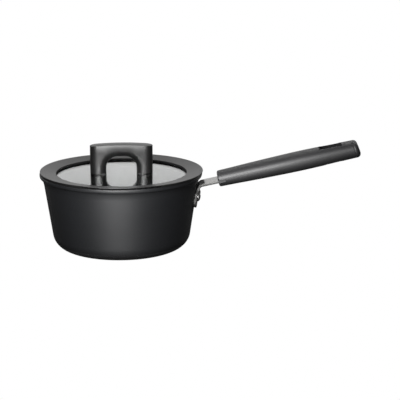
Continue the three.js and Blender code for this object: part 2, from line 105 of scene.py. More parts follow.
class Nodes:
    """A node tree that is being filled, with the one method that adds a node to it."""

    def __init__(self, tree):
        self.tree = tree

    def node(self, kind, settings=None, inputs=None):
        made = self.tree.nodes.new(kind)
        for name, value in (settings or {}).items():
            if name == "stops":
                ramp = made.color_ramp
                while len(ramp.elements) < len(value):
                    ramp.elements.new(0.5)
                for element, (place, shade) in zip(ramp.elements, value):
                    element.position, element.color = place, (*shade, 1)
            else:
                setattr(made, name, value)
        for name, value in (inputs or {}).items():
            value = getattr(value, "socket", value)
            if isinstance(value, bpy.types.NodeSocket):
                self.tree.links.new(value, made.inputs[name])
            else:
                made.inputs[name].default_value = value
        return made

    def amount(self, kind, settings=None, inputs=None, output=0):
        return Amount(self, self.node(kind, settings, inputs).outputs[output])

    def eased(self, value, low, high, start=0.0, stop=1.0):
        settings = {"interpolation_type": "SMOOTHSTEP"}
        inputs = {0: value, 1: low, 2: high, 3: start, 4: stop}
        return self.amount("ShaderNodeMapRange", settings, inputs)

    def split(self, vector):
        parts = self.node("ShaderNodeSeparateXYZ", None, {0: vector}).outputs
        return [Amount(self, part) for part in parts]


dark_room, dark_floor, white_floor = 0.03, 0.04, 1.0
floor_size, floor_drop = 9.0, 0.0004


def studio_glow(nodes, to_back, upward):
    """Brightness of the surroundings: a white wall behind, a dim ceiling, a dark room in front."""
    wall = nodes.eased(to_back, 0.35, 0.85)
    under_ceiling = nodes.eased(upward, 0.3, 0.75, 1.0, 0.25)
    return dark_room + wall * under_ceiling


world = bpy.data.worlds.new("Studio")
bpy.context.scene.world = world
world.use_nodes = True
world.node_tree.nodes.clear()
room = Nodes(world.node_tree)
direction = room.node("ShaderNodeTexCoord").outputs["Generated"]
_, to_back, upward = room.split(direction)
seen = room.amount("ShaderNodeLightPath", output="Is Camera Ray")
glow = studio_glow(room, to_back, upward)
brightness = seen * (1.0 - glow) + glow
background = room.node(
    "ShaderNodeBackground", None, {"Color": (1, 1, 1, 1), "Strength": brightness}
)
room.node("ShaderNodeOutputWorld", None, {"Surface": background.outputs[0]})

floor_form = bmesh.new()
bmesh.ops.create_grid(floor_form, x_segments=1, y_segments=1, size=floor_size)
bmesh.ops.translate(floor_form, vec=(0, 0, -floor_drop), verts=floor_form.verts)
floor_mesh = bpy.data.meshes.new("Floor")
floor_form.to_mesh(floor_mesh)
floor_form.free()
floor = bpy.data.objects.new("Floor", floor_mesh)
bpy.context.scene.collection.objects.link(floor)
sweep = bpy.data.materials.new("White sweep")
sweep.use_nodes = True
sweep.node_tree.nodes.clear()
paper = Nodes(sweep.node_tree)
_, floor_back, _ = paper.split(paper.node("ShaderNodeTexCoord").outputs["Object"])
lit = paper.eased(floor_back, 0.2, 2.0, dark_floor, white_floor)
seen = paper.amount("ShaderNodeLightPath", output="Is Camera Ray")
shine = paper.node(
    "ShaderNodeEmission",
    None,
    {"Color": (1, 1, 1, 1), "Strength": seen * (1.0 - lit) + lit},
)
paper.node("ShaderNodeOutputMaterial", None, {"Surface": shine.outputs[0]})
floor.data.materials.append(sweep)


def softbox(name, azimuth, elevation, distance, width, height, watts):
    """An area light aimed at the saucepan; azimuth 0 is the camera's side, positive to the right."""
    light = bpy.data.objects.new(name, bpy.data.lights.new(name, "AREA"))
    bpy.context.scene.collection.objects.link(light)
    light.data.shape = "RECTANGLE"
    light.data.size, light.data.size_y = width, height
    light.data.energy = watts
    light.visible_camera = False
    turn, rise = math.radians(azimuth), math.radians(elevation)
    away = Vector(
        (math.sin(turn) * math.cos(rise), -math.cos(turn) * math.cos(rise), math.sin(rise))
    )
    light.location = camera_aim + away * distance
    light.rotation_mode = "QUATERNION"
    light.rotation_quaternion = away.to_track_quat("Z", "Y")


softbox("Key softbox", -16, 24, 0.38, 0.22, 0.18, 5.4)
softbox("Overhead softbox", 174, 52, 1.6, 1.2, 0.3, 5)


# Pan body: one aluminium pot, drawn and turned, flaring to an outward pouring lip. Outside it is
# hard anodised dark grey over fine turning lines; inside it carries a black non-stick coating.

wall_lean = math.radians(8.67)
neck_height, neck_radius, flare_start = 73.5, 82.7, 69.5
wall_thickness = 2.5
corner_radius = 17.5
base_underside, floor_height = 0.4, 4.6
lip_radius, lip_top, lip_underside, mouth_radius = 86.8, 81.6, 77.8, 81.0
plate_radius, plate_thickness = 48.0, 1.6
gap = 0.3


def arc(centre, radius, start, stop, steps):
    """Points of an arc in a section, from one angle to another in degrees."""
    angles = [math.radians(start + (stop - start) * i / steps) for i in range(steps + 1)]
    return [
        (centre[0] + radius * math.cos(a), centre[1] + radius * math.sin(a)) for a in angles
    ]


def swoop(start, control, stop, steps):
    """Points of a quadratic curve in a section."""
    points = []
    for i in range(steps + 1):
        t = i / steps
        points.append(
            tuple(
                (1 - t) ** 2 * a + 2 * t * (1 - t) * b + t * t * c
                for a, b, c in zip(start, control, stop)
            )
        )
    return points


def run(start, stop, steps):
    """Evenly spaced points of a straight line in a section, without its last one."""
    return [
        tuple(a + (b - a) * i / steps for a, b in zip(start, stop)) for i in range(steps)
    ]


def turned(section, steps=192, closed=False, axis=(0, 0, 1)):
    """A section of (radius, height) points, in millimetres, spun once round its axis."""
    form = bmesh.new()
    upright = Vector(axis)
    outward = Vector((1, 0, 0)) if abs(upright.z) > 0.5 else Vector((0, 0, 1))
    corners = [form.verts.new(outward * r + upright * h) for r, h in section]
    pairs = list(zip(corners, corners[1:])) + ([(corners[-1], corners[0])] if closed else [])
    lines = [form.edges.new(pair) for pair in pairs]
    bmesh.ops.spin(
        form, geom=corners + lines, cent=(0, 0, 0), axis=axis, dvec=(0, 0, 0),
        angle=2 * math.pi, steps=steps, use_merge=True, use_normal_flip=False,
        use_duplicate=False,
    )
    bmesh.ops.remove_doubles(form, verts=form.verts, dist=0.002)
    bmesh.ops.recalc_face_normals(form, faces=form.faces)
    return form


def make_piece(name, form, body, nodes, finishes, crease=32):
    """Hands a form in millimetres over as a finished piece that rides on a body for its nodes."""
    for edge in form.edges:
        if len(edge.link_faces) == 2:
            edge.smooth = edge.calc_face_angle() < math.radians(crease)
    for face in form.faces:
        face.smooth = True
    bmesh.ops.scale(form, vec=(MM, MM, MM), verts=form.verts)
    mesh = bpy.data.meshes.new(name)
    form.to_mesh(mesh)
    form.free()
    for finish in finishes:
        mesh.materials.append(finish)
    piece = bpy.data.objects.new(name, mesh)
    bpy.context.scene.collection.objects.link(piece)
    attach(piece, body)
    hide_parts(*nodes)
    return piece


class Finish(Nodes):
    """A surface material under construction."""

    def __init__(self, name, **constants):
        self.material = bpy.data.materials.new(name)
        self.material.use_nodes = True
        super().__init__(self.material.node_tree)
        self.shader = self.tree.nodes["Principled BSDF"]
        for socket, value in constants.items():
            self.shader.inputs[socket.replace("_", " ")].default_value = value
        self.place = self.node("ShaderNodeTexCoord").outputs["Object"]

    def feed(self, socket, source):
        self.tree.links.new(getattr(source, "socket", source), self.shader.inputs[socket])

    def noise(self, scale, detail=2.0, roughness=0.5, place=None, stretch=None):
        """Smooth noise from 0 to 1, `scale` lumps to the metre, pulled out by `stretch`."""
        where = place or self.place
        if stretch:
            where = self.node("ShaderNodeMapping", None, {0: where, "Scale": stretch}).outputs[0]
        inputs = {"Vector": where, "Scale": scale, "Detail": detail, "Roughness": roughness}
        return self.amount("ShaderNodeTexNoise", None, inputs)

    def tint(self, factor, low, high):
        """A colour between two, by a factor from 0 to 1."""
        settings = {"data_type": "RGBA"}
        inputs = {"Factor": factor, 6: (*low, 1), 7: (*high, 1)}
        return self.node("ShaderNodeMix", settings, inputs).outputs[2]

    def emboss(self, height, depth, strength=1.0):
        """Relief of a real depth in metres, from a height from 0 to 1."""
        inputs = {"Height": height, "Distance": depth, "Strength": strength}
        self.feed("Normal", self.node("ShaderNodeBump", None, inputs).outputs[0])


def wall_radius(height, inset=0.0):
    outside = neck_radius - (neck_height - height) * math.tan(wall_lean)
    return outside - inset / math.cos(wall_lean)


def corner_of(flat, inset, radius, steps):
    """The round corner between a flat of the base and the leaning wall."""
    touch = flat + radius * (1 - math.sin(wall_lean))
    centre = (wall_radius(touch, inset) - radius * math.cos(wall_lean), flat + radius)
    return arc(centre, radius, -90, -math.degrees(wall_lean), steps)


recess_top = plate_thickness + gap
lip_edge_round, lip_bulge, lip_flank_top = 0.4, 1.6, 3.0
outer_corner = corner_of(base_underside, 0, corner_radius, 14)
inner_corner = corner_of(floor_height, wall_thickness, corner_radius - wall_thickness, 12)
mouth_foot = (wall_radius(75, wall_thickness) + 0.4, 75.0)
body_section = [
    *run((0, recess_top), (plate_radius + gap, recess_top), 6),
    (plate_radius + gap, recess_top),
    (plate_radius + gap, base_underside + 0.4),
    (plate_radius + gap + 0.4, base_underside),
    *run((plate_radius + 3, base_underside), outer_corner[0], 3),
    *outer_corner,
    *run(outer_corner[-1], (wall_radius(flare_start), flare_start), 20)[1:],
    *swoop((wall_radius(flare_start), flare_start), (neck_radius + 0.25, 75.0),
           (lip_radius - lip_bulge, lip_underside), 12),
    *swoop((lip_radius - lip_bulge, lip_underside), (lip_radius, lip_underside),
           (lip_radius, lip_underside + lip_flank_top), 8)[1:],
    *arc((lip_radius - lip_edge_round, lip_top - lip_edge_round), lip_edge_round, 0, 90, 4),
    *swoop((mouth_radius + 2.4, lip_top), (mouth_radius, lip_top), mouth_foot, 8),
    *run(mouth_foot, inner_corner[-1], 16)[1:],
    *inner_corner[::-1],
    *run(inner_corner[0], (0, floor_height), 8)[1:],
    (0, floor_height),
]
body_form = turned(body_section, 240)
for face in body_form.faces:
    middle = face.calc_center_median()
    radius = math.hypot(middle.x, middle.y)
    inside = radius < wall_radius(middle.z, wall_thickness / 2) and middle.z > 3
    face.material_index = int(inside or (radius < mouth_radius + 2.6 and middle.z > 76))

anodised = Finish(
    "Hard anodised", Specular_IOR_Level=0.44, Anisotropic=0.5, Anisotropic_Rotation=0.25)
turning = anodised.noise(1.0, 2.0, 0.6, stretch=(12, 12, 2600))
clouding = anodised.noise(26, 3.0, 0.55)
pores = anodised.noise(4200, 2.0, 0.6)
anodised.feed("Base Color", anodised.tint(
    turning * 0.6 + clouding * 0.4, (0.0028, 0.003, 0.0034), (0.006, 0.0063, 0.0071)))
anodised.feed("Roughness", 0.43 + turning * 0.08 + clouding * 0.05)
anodised.emboss(turning * 0.75 + pores * 0.25, 0.00003)

nonstick = Finish("Non-stick coating", Roughness=0.4, Coat_Weight=0.25, Coat_Roughness=0.3)
flecks = nonstick.noise(1500, 1.0, 0.5)
swirl = nonstick.noise(14, 3.0, 0.5)
nonstick.feed("Base Color", nonstick.tint(
    nonstick.eased(flecks, 0.62, 0.72), (0.011, 0.011, 0.012), (0.05, 0.05, 0.053)))
nonstick.feed("Roughness", 0.34 + swirl * 0.14)
nonstick.emboss(nonstick.noise(900, 2.0, 0.6), 0.00003)

make_piece(
    "pan_shell", body_form, "pan", ["pan_body"],
    [anodised.material, nonstick.material],
)


# Base disc: a flat steel disc pressed into the underside so that the pan works on an induction hob.
# Rings rolled in its face let it bed in the aluminium; it is ground, with fine turning marks.

disc_section = [(0, plate_thickness), (plate_radius - 0.3, plate_thickness)]
disc_section += [(plate_radius, plate_thickness - 0.3), (plate_radius, 0.35)]
disc_section += [(plate_radius - 0.35, 0)]
for ring_radius in (41, 33, 25, 17, 9):
    disc_section += [
        (ring_radius + 0.9, 0), (ring_radius + 0.5, 0.35),
        (ring_radius - 0.5, 0.35), (ring_radius - 0.9, 0),
    ]
disc_section += [(0, 0)]

disc_steel = Finish(
    "Ground base steel", Metallic=1.0, Roughness=0.36, Anisotropic=0.6, Anisotropic_Rotation=0.25)
x, y, _ = disc_steel.split(disc_steel.place)
radius = (x * x + y * y) ** 0.5
marks = disc_steel.noise(1.0, 2.0, 0.6, place=disc_steel.node(
    "ShaderNodeCombineXYZ", None, {0: radius * 1800, 1: 0.0, 2: 0.0}).outputs[0])
patches = disc_steel.noise(40, 3.0, 0.6)
disc_steel.feed("Base Color", disc_steel.tint(
    patches * 0.5 + marks * 0.5, (0.34, 0.335, 0.325), (0.55, 0.545, 0.53)))
disc_steel.feed("Roughness", 0.28 + marks * 0.14 + patches * 0.06)
disc_steel.emboss(marks, 0.00002)

make_piece(
    "base_disc", turned(disc_section, 160), "pan", ["induction_plate"],
    [disc_steel.material],
)


# Handle strap: one stainless bar, blanked flat with its slot and its holes, then bent. Its plate is
# rolled to the wall and riveted there, and its tang rises into the grip. Its faces are brushed, and
# its blanked edges are duller, with their steel painted far darker as painted shade.

strap_thickness = 2.5
strap_width, plate_width, tang_width = 25.0, 34.0, 20.0
strap_plate_bottom, strap_plate_top = 45.4, 65.5
bend_radius = 5.0
grip_slope = math.radians(12.65)
grip_start = Vector((103.8, 0, 74.4))
strap_below_axis = 1.1
tang_length = 60.0
guard_half_width = 7.5
guard_end_x, guard_bottom = 89.5, 66.5
rivet_height, rivet_spacing, rivet_shank = 57.0, 20.0, 2.5
foot_round, taper_start, taper_stop = 6.0, 14.0, 20.5

along_wall = Vector((math.sin(wall_lean), 0, math.cos(wall_lean)))
along_tang = Vector((math.cos(grip_slope), 0, math.sin(grip_slope)))
wall_out = Vector((math.cos(wall_lean), 0, -math.sin(wall_lean)))
strap_foot = Vector(
    (wall_radius(strap_plate_bottom, -gap - strap_thickness / 2), 0, strap_plate_bottom))
tang_root = grip_start - Vector((-math.sin(grip_slope), 0, math.cos(grip_slope))) * strap_below_axis
across_both = along_wall.x * along_tang.z - along_wall.z * along_tang.x
to_root = tang_root - strap_foot
up_wall = (to_root.x * along_tang.z - to_root.z * along_tang.x) / across_both
knee = strap_foot + along_wall * up_wall
half_turn = (math.pi / 2 - wall_lean - grip_slope) / 2
bend_cut = bend_radius * math.tan(half_turn)
straight_rise = up_wall - bend_cut
bend_length = bend_radius * 2 * half_turn
bend_centre = knee - along_wall * bend_cut + wall_out * bend_radius
root_along = straight_rise + bend_length + (tang_root - knee).length - bend_cut
strap_length = root_along + tang_length


def strap_line(along):
    """Point, direction and outward side of the bent bar's middle, at a length along it."""
    if along <= straight_rise:
        return strap_foot + along_wall * along, along_wall, wall_out
    turn = min((along - straight_rise) / bend_radius, 2 * half_turn)
    side = (wall_out * math.cos(turn) - along_wall * math.sin(turn)).normalized()
    ahead = (along_wall * math.cos(turn) + wall_out * math.sin(turn)).normalized()
    point = bend_centre - side * bend_radius
    if along > straight_rise + bend_length:
        point = point + ahead * (along - straight_rise - bend_length)
    return point, ahead, side


def strap_half_width(along):
    plate_half, bar_half = plate_width / 2, strap_width / 2
    if along < foot_round:
        return plate_half - foot_round + math.sqrt(foot_round**2 - (foot_round - along) ** 2)
    if along < taper_start:
        return plate_half
    if along < taper_stop:
        share = (along - taper_start) / (taper_stop - taper_start)
        return plate_half + (bar_half - plate_half) * (3 * share**2 - 2 * share**3)
    inside = root_along + 1.5
    if along < inside:
        return bar_half
    return max(tang_width / 2, bar_half - (along - inside) * 2)


def bent(along, across, outward):
    """Where a point of the flat blank comes to lie once the bar is rolled and bent."""
    point, ahead, side = strap_line(along)
    rolled = 1 - min(max((along - 15.0) / 7.0, 0), 1)
    rolled = rolled**2 * (3 - 2 * rolled)
    round_wall = point.x - math.sqrt(max(point.x**2 - across**2, 0))
    place = point + side * outward + Vector((0, across, 0))
    place.x -= round_wall * rolled
    return place


def outline_distance(along, across, half_length, half_width, corner):
    """How far a point lies outside a rounded outline, and the way straight out of it."""
    over, beside = abs(along) - half_length + corner, abs(across) - half_width + corner
    if over > 0 and beside > 0:
        reach = math.hypot(over, beside)
        distance, away = reach - corner, (over / reach, beside / reach)
    elif over > beside:
        distance, away = over - corner, (1.0, 0.0)
    else:
        distance, away = beside - corner, (0.0, 1.0)
    return distance, math.copysign(away[0], along), math.copysign(away[1], across)


def cut_opening(form, faces, flat, lift, size):
    """Takes the faces inside a rounded outline out of a surface and pulls its rim to the line."""
    def away_from(place):
        return outline_distance(*flat(place), *size)

    unwanted = [f for f in faces if away_from(f.calc_center_median())[0] < 0]
    rim = {v for f in unwanted for v in f.verts if any(g not in unwanted for g in v.link_faces)}
    bmesh.ops.delete(form, geom=unwanted, context="FACES")
    loop = []
    for vert in [v for v in rim if v.is_valid]:
        distance, *away = away_from(vert.co)
        along, across = flat(vert.co)
        vert.co = lift(along - distance * away[0], across - distance * away[1], vert.co)
        loop += [e for e in vert.link_edges if e.is_boundary and e.other_vert(vert) in rim]
    return list(dict.fromkeys(loop))


def blank_grid(length, columns, half_width, rows):
    """A flat grid: lengths along +X from 0, and shares from -1 to 1 across, made widths."""
    form = bmesh.new()
    bmesh.ops.create_grid(form, x_segments=columns, y_segments=rows, size=0.5)
    for vert in form.verts:
        along = (vert.co.x + 0.5) * length
        vert.co = (along, vert.co.y * 2 * half_width(along), 0)
    return form


strap_form = blank_grid(strap_length, 150, strap_half_width, 40)
slot_start = (guard_bottom - strap_plate_bottom) / math.cos(wall_lean)
slot_stop = straight_rise + bend_length + (
    guard_end_x - strap_line(straight_rise + bend_length)[0].x) / math.cos(grip_slope)
slot_middle, slot_half = (slot_start + slot_stop) / 2, (slot_stop - slot_start) / 2
cut_opening(
    strap_form, strap_form.faces,
    lambda p: (p.x - slot_middle, p.y), lambda a, b, p: (a + slot_middle, b, 0),
    (slot_half, guard_half_width, min(guard_half_width, slot_half) - 0.01),
)
for side in (-1, 1):
    rivet_along = (rivet_height - strap_plate_bottom) / math.cos(wall_lean)
    cut_opening(
        strap_form, strap_form.faces,
        lambda p: (p.x - rivet_along, p.y - side * rivet_spacing / 2),
        lambda a, b, p: (a + rivet_along, b + side * rivet_spacing / 2, 0),
        (rivet_shank + gap,) * 3,
    )
walls = bmesh.ops.extrude_face_region(strap_form, geom=strap_form.faces[:])
raised = {v for v in walls["geom"] if isinstance(v, bmesh.types.BMVert)}
for vert in strap_form.verts:
    outward = strap_thickness / 2 if vert in raised else -strap_thickness / 2
    vert.co = bent(vert.co.x, vert.co.y, outward)
bmesh.ops.recalc_face_normals(strap_form, faces=strap_form.faces)
strap_form.normal_update()
sheared = [e for e in strap_form.edges if e.calc_face_angle(0) > math.radians(60)]
bmesh.ops.bevel(
    strap_form, geom=sheared, offset=0.35, segments=2, profile=0.5, affect="EDGES",
    material=-1, clamp_overlap=True)

strap_steel = Finish("Brushed strap steel", Metallic=1.0, Roughness=0.34)
grain = strap_steel.noise(1.0, 3.0, 0.65, stretch=(60, 3800, 900))
smudge = strap_steel.noise(60, 2.0, 0.5)
strap_steel.feed("Base Color", strap_steel.tint(
    grain * 0.6 + smudge * 0.4, (0.27, 0.267, 0.26), (0.42, 0.416, 0.406)))
strap_steel.feed("Roughness", 0.26 + grain * 0.16 + smudge * 0.06)
strap_steel.emboss(grain, 0.00003)

# Blanked edges: rougher steel, with a base colour painted far darker than steel as painted shade.
painted_shade_edge_steel = Finish("Edge steel darkened as painted shade", Metallic=1.0, Roughness=0.6)
tearing = painted_shade_edge_steel.noise(1400, 3.0, 0.6)
painted_shade_edge_steel.feed("Base Color", painted_shade_edge_steel.tint(tearing, (0.05, 0.05, 0.049), (0.13, 0.129, 0.126)))
painted_shade_edge_steel.feed("Roughness", 0.52 + tearing * 0.16)
painted_shade_edge_steel.emboss(tearing, 0.00004)
# The bar's side faces take the darkened edge steel, as painted shade where they catch no light.
for face in strap_form.faces:
    middle = face.calc_center_median()
    face.material_index = int(abs(face.normal.y) > 0.3 and abs(middle.y) > guard_half_width)

make_piece(
    "riveted_strap", strap_form, "pan", ["handle_strap"],
    [strap_steel.material, painted_shade_edge_steel.material], crease=40,
)


# Rivets: two solid steel rivets side by side through the wall and the strap's plate, with a low
# round head on the plate and a flatter one inside the pan.

fastener_steel = Finish("Rivet and screw steel", Metallic=1.0, Roughness=0.45)
hammering = fastener_steel.noise(700, 2.0, 0.5)
fastener_steel.feed("Base Color", fastener_steel.tint(
    hammering, (0.19, 0.189, 0.185), (0.32, 0.318, 0.31)))
fastener_steel.feed("Roughness", 0.38 + hammering * 0.16)
fastener_steel.emboss(hammering, 0.00004)

plate_face = 2 * gap + strap_thickness
inner_face = -wall_thickness - gap
rivet_section = [
    *swoop((0, inner_face - 1.8), (3.8, inner_face - 1.8), (5, inner_face), 8),
    (rivet_shank, inner_face), (rivet_shank, plate_face), (4.5, plate_face),
    *swoop((4.5, plate_face + 0.6), (3.6, plate_face + 2.4), (0, plate_face + 2.4), 9),
]
for side, label in ((-1, "front"), (1, "rear")):
    seat_radius = wall_radius(rivet_height)
    angle = math.asin(side * rivet_spacing / 2 / seat_radius)
    outward = Vector((
        math.cos(angle) * math.cos(wall_lean), math.sin(angle) * math.cos(wall_lean),
        -math.sin(wall_lean)))
    rivet_form = turned(rivet_section, 40)
    bmesh.ops.transform(
        rivet_form, matrix=outward.to_track_quat("Z", "Y").to_matrix().to_4x4(),
        verts=rivet_form.verts)
    seat = (seat_radius * math.cos(angle), seat_radius * math.sin(angle), rivet_height)
    bmesh.ops.translate(rivet_form, vec=seat, verts=rivet_form.verts)
    make_piece(
        f"round_rivet_{label}", rivet_form, "pan", [f"rivet_{label}"],
        [fastener_steel.material],
    )


# Heat guard: a black silicone insert pressed into the strap's slot. It stands a little proud of the
# steel, and its end is rounded like the slot.

guard_proud = 1.0
guard_start = slot_start + gap
guard_stop = slot_stop - gap
guard_width = guard_half_width - gap
guard_form = blank_grid(guard_stop - guard_start, 16, lambda along: guard_width, 14)
guard_middle = (guard_stop - guard_start) / 2
for vert in guard_form.verts:
    size = (guard_middle, guard_width, min(guard_middle, guard_width) - 0.01)
    distance, *away = outline_distance(vert.co.x - guard_middle, vert.co.y, *size)
    if distance > 0:
        vert.co.x -= distance * away[0]
        vert.co.y -= distance * away[1]
    vert.co.x += guard_start
guard_top = bmesh.ops.extrude_face_region(guard_form, geom=guard_form.faces[:])
raised = {v for v in guard_top["geom"] if isinstance(v, bmesh.types.BMVert)}
for vert in guard_form.verts:
    outward = strap_thickness / 2
    outward = outward + guard_proud if vert not in raised else -outward
    vert.co = bent(vert.co.x, vert.co.y, -outward)
bmesh.ops.recalc_face_normals(guard_form, faces=guard_form.faces)
moulded = [e for e in guard_form.edges if e.calc_face_angle(0) > math.radians(60)]
bmesh.ops.bevel(
    guard_form, geom=moulded, offset=0.5, segments=3, profile=0.5, affect="EDGES",
    material=-1, clamp_overlap=True)

silicone = Finish("Black silicone", Roughness=0.7)
skin = silicone.noise(1800, 2.0, 0.6)
silicone.feed("Base Color", silicone.tint(
    silicone.noise(220, 2.0, 0.5), (0.006, 0.006, 0.0065), (0.012, 0.012, 0.0125)))
silicone.feed("Roughness", 0.6 + skin * 0.2)
silicone.emboss(skin, 0.00003)

make_piece(
    "strap_insert", guard_form, "pan", ["heat_guard"], [silicone.material])


# Grip: a long hollow phenolic moulding, thickest past its middle, with the hanging slot through its
# far end, darkened inside as painted shade, a pocket for the tang and, underneath, the sunk seat of
# its screw.

grip_length, cap_thickness, grip_slant = 153.6, 5.0, 0.08
grip_heights = ((0, 16.8), (45, 19.1), (92, 20.5), (grip_length, 18.6))
grip_width_ratio, grip_squareness = 1.42, 2.25
slot_centre, slot_length, slot_width, slot_corner = 124.0, 24.6, 15.6, 6.0
screw_place, screw_seat_radius, screw_seat_depth = 42.0, 4.4, 5.2


def grip_height(along):
    """Height of the grip's section at a length along it, on a smooth curve through its sizes."""
    along = min(max(along, 0), grip_length)
    last = len(grip_heights) - 2
    span = max(i for i in range(last + 1) if along >= grip_heights[i][0] or i == 0)
    (x1, h1), (x2, h2) = grip_heights[span], grip_heights[span + 1]
    h0 = grip_heights[max(span - 1, 0)][1]
    h3 = grip_heights[min(span + 2, last + 1)][1]
    t = (along - x1) / (x2 - x1)
    lead, trail = (h2 - h0) / 2, (h3 - h1) / 2
    return (
        h1 * (2 * t**3 - 3 * t**2 + 1) + lead * (t**3 - 2 * t**2 + t)
        + h2 * (3 * t**2 - 2 * t**3) + trail * (t**3 - t**2)
    )


def grip_split(height):
    return grip_length - cap_thickness - grip_slant * height


def edge_inset(depth, radius):
    """How far a rounded end edge has drawn in, at a depth from the end."""
    if depth >= radius:
        return 0.0
    return radius - math.sqrt(radius**2 - (radius - depth) ** 2)


def grip_skin(form, start, stop, inset):
    """Shapes a spun tube of unit radius, 0 to 1 along X, into the grip's rounded section."""
    for vert in form.verts:
        share = vert.co.x
        turn = math.atan2(vert.co.z, vert.co.y)
        upward = math.copysign(abs(math.sin(turn)) ** (2 / grip_squareness), math.sin(turn))
        sideward = math.copysign(abs(math.cos(turn)) ** (2 / grip_squareness), math.cos(turn))
        rough_height = upward * 9.5
        along = start(rough_height) + share * (stop(rough_height) - start(rough_height))
        half = grip_height(along) / 2
        drawn_in = inset(along, rough_height)
        vert.co = (
            along,
            sideward * (half * grip_width_ratio - drawn_in),
            upward * (half - drawn_in),
        )


def shares(*stops):
    """Shares along a piece from pairs of (share, steps to it)."""
    places = [0.0]
    for stop, steps in stops:
        begin = places[-1]
        places += [begin + (stop - begin) * (i + 1) / steps for i in range(steps)]
    return places


def grip_surface(across, up):
    """Height of the section's skin over a width, at unit half sizes."""
    return up * (1 - min(abs(across), 1) ** grip_squareness) ** (1 / grip_squareness)


end_round = 2.0
grip_form = turned(
    [(1, share) for share in shares((0.009, 8), (0.68, 96), (0.998, 64), (1.0, 1))], 96,
    axis=(1, 0, 0))
grip_skin(
    grip_form, lambda height: 0.0, grip_split,
    lambda along, height: edge_inset(along, end_round)
    + edge_inset(max(grip_split(height) - along, 0), 0.15))
for side in (1, -1):
    rims = cut_opening(
        grip_form, [f for f in grip_form.faces if f.calc_center_median().z * side > 0],
        lambda p: (p.x - slot_centre, p.y),
        lambda a, b, p: (a + slot_centre, b, side * grip_height(a + slot_centre) / 2
                         * grip_surface(b / (grip_height(a + slot_centre)
                                             / 2 * grip_width_ratio), 1)),
        (slot_length / 2, slot_width / 2, slot_corner))
slot_rims = [
    e for e in grip_form.edges if e.is_boundary and abs(e.verts[0].co.x - slot_centre) < 14]
bmesh.ops.bridge_loops(grip_form, edges=slot_rims)
grip_form.normal_update()
rounded = [e for e in grip_form.edges if abs(e.verts[0].co.x - slot_centre) < 14
           and abs(e.verts[1].co.x - slot_centre) < 14
           and e.calc_face_angle(0) > math.radians(45)]
bmesh.ops.bevel(
    grip_form, geom=rounded, offset=0.8, segments=3, profile=0.5, affect="EDGES",
    material=-1, clamp_overlap=True)

cut_opening(
    grip_form,
    [f for f in grip_form.faces if f.calc_center_median().z < -3],
    lambda p: (p.x - screw_place, p.y),
    lambda a, b, p: (a + screw_place, b, -grip_height(a + screw_place) / 2
                     * grip_surface(b / (grip_height(a + screw_place) / 2 * grip_width_ratio), 1)),
    (screw_seat_radius,) * 3)
seat_rim = [
    e for e in grip_form.edges if e.is_boundary and abs(e.verts[0].co.x - screw_place) < 6]
seat_wall = bmesh.ops.extrude_edge_only(grip_form, edges=seat_rim)["geom"]
for vert in [v for v in seat_wall if isinstance(v, bmesh.types.BMVert)]:
    vert.co.z = -screw_seat_depth
bmesh.ops.holes_fill(
    grip_form, edges=[e for e in seat_wall if isinstance(e, bmesh.types.BMEdge)], sides=0)

mouth_rim = [e for e in grip_form.edges if e.is_boundary and e.verts[0].co.x < 1]
mouth = bmesh.ops.extrude_edge_only(grip_form, edges=mouth_rim)["geom"]
mouth_half_width, mouth_half_height = strap_width / 2 + gap, strap_thickness / 2 + gap
mouth_reach, pocket_depth = 5.2, 8.0
for vert in [v for v in mouth if isinstance(v, bmesh.types.BMVert)]:
    reach = max(abs(vert.co.y) / mouth_half_width, abs(vert.co.z) / mouth_reach)
    vert.co = (0, vert.co.y / reach, vert.co.z / reach * mouth_half_height / mouth_reach
               - strap_below_axis)
mouth_rim = [e for e in mouth if isinstance(e, bmesh.types.BMEdge)]
pocket = bmesh.ops.extrude_edge_only(grip_form, edges=mouth_rim)["geom"]
for vert in [v for v in pocket if isinstance(v, bmesh.types.BMVert)]:
    vert.co.x = pocket_depth
for loop in ([e for e in pocket if isinstance(e, bmesh.types.BMEdge)],
             [e for e in grip_form.edges if e.is_boundary and e.verts[0].co.x > 140]):
    bmesh.ops.holes_fill(grip_form, edges=loop, sides=0)


def set_on_slope(form):
    """Takes a piece from the grip's own frame, X along it, to its place on the pan."""
    tilt = Matrix.Rotation(-grip_slope, 4, "Y")
    bmesh.ops.transform(
        form, matrix=Matrix.Translation(grip_start) @ tilt, verts=form.verts)


def moulded_black(name, low, high, roughness, texture, gloss):
    """Black moulding compound: a fine spark-eroded texture, and shine where hands rub it."""
    finish = Finish(name, Specular_IOR_Level=gloss)
    grain = finish.noise(texture, 3.0, 0.65)
    cloud = finish.noise(45, 3.0, 0.55)
    finish.feed("Base Color", finish.tint(cloud * 0.5 + grain * 0.5, low, high))
    finish.feed("Roughness", roughness - 0.05 + cloud * 0.08 + grain * 0.04)
    finish.emboss(grain, 0.00003)
    return finish.material


grip_black = moulded_black(
    "Grip moulding", (0.005, 0.005, 0.0054), (0.011, 0.011, 0.0117), 0.54, 2600, 0.62)
# A darker, duller copy of the moulding: painted shade for faces that lie in shade.
painted_shade_black = moulded_black(
    "Moulding darkened as painted shade", (0.002, 0.002, 0.0021), (0.006, 0.006, 0.0062), 0.8, 1600, 0.12)
# The slot's walls take the darkened copy: painted shade in the recess.
for face in grip_form.faces:
    middle = face.calc_center_median()
    face.material_index = int(
        abs(middle.x - slot_centre) < slot_length / 2 + 0.05
        and abs(middle.y) < slot_width / 2 + 0.05
        and abs(middle.z) < grip_height(middle.x) / 2 - 0.5)
set_on_slope(grip_form)
bmesh.ops.recalc_face_normals(grip_form, faces=grip_form.faces)
make_piece(
    "moulded_grip", grip_form, "pan", ["grip"], [grip_black, painted_shade_black])


# Grip end cap: a separate moulding pushed into the end of the grip on a square spigot, with the
# same section and a rounded end.

